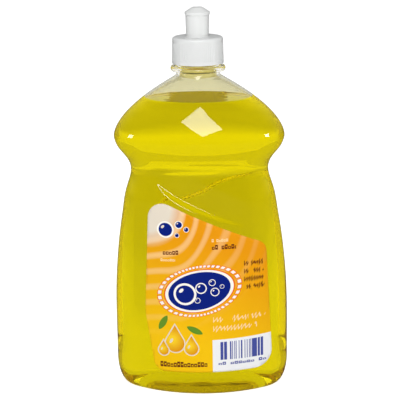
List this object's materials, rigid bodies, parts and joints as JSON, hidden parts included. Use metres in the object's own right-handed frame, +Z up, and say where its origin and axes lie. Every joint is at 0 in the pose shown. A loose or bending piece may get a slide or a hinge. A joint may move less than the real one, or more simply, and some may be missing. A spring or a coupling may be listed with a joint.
{
  "type": "dish soap bottle",
  "caption": "clear squeeze bottle of yellow dish soap with a waisted oval body, stepped label panels, a push-up base and a push-pull closure",
  "frame": {"origin": "bottom centre of the bounding box, on the surface that the bottle stands on", "axes": "+Z up along the bottle's axis, +X to the right as the label is read, -Y out of the labelled front"},
  "size_m": [0.1052, 0.0652, 0.2307],
  "materials": {
    "clear_plastic": "clear blown PET, glossy",
    "liquid": "clear yellow liquid",
    "printed_film": "printed film, orange to yellow, satin gloss",
    "white_plastic": "white moulded polypropylene, satin"
  },
  "bodies": {
    "bottle": {"bottle": "clear_plastic", "dish_soap": "liquid", "front_label": "printed_film"},
    "cap": {"cap": "white_plastic"},
    "spout": {"spout": "white_plastic"}
  },
  "joints": [
    {"name": "cap_lift", "type": "slide", "parent": "bottle", "child": "cap", "axis": [0, 0, 1], "range_m": [0, 0.022]},
    {"name": "spout_slide", "type": "slide", "parent": "cap", "child": "spout", "axis": [0, 0, 1], "range_m": [0, 0.005]}
  ]
}
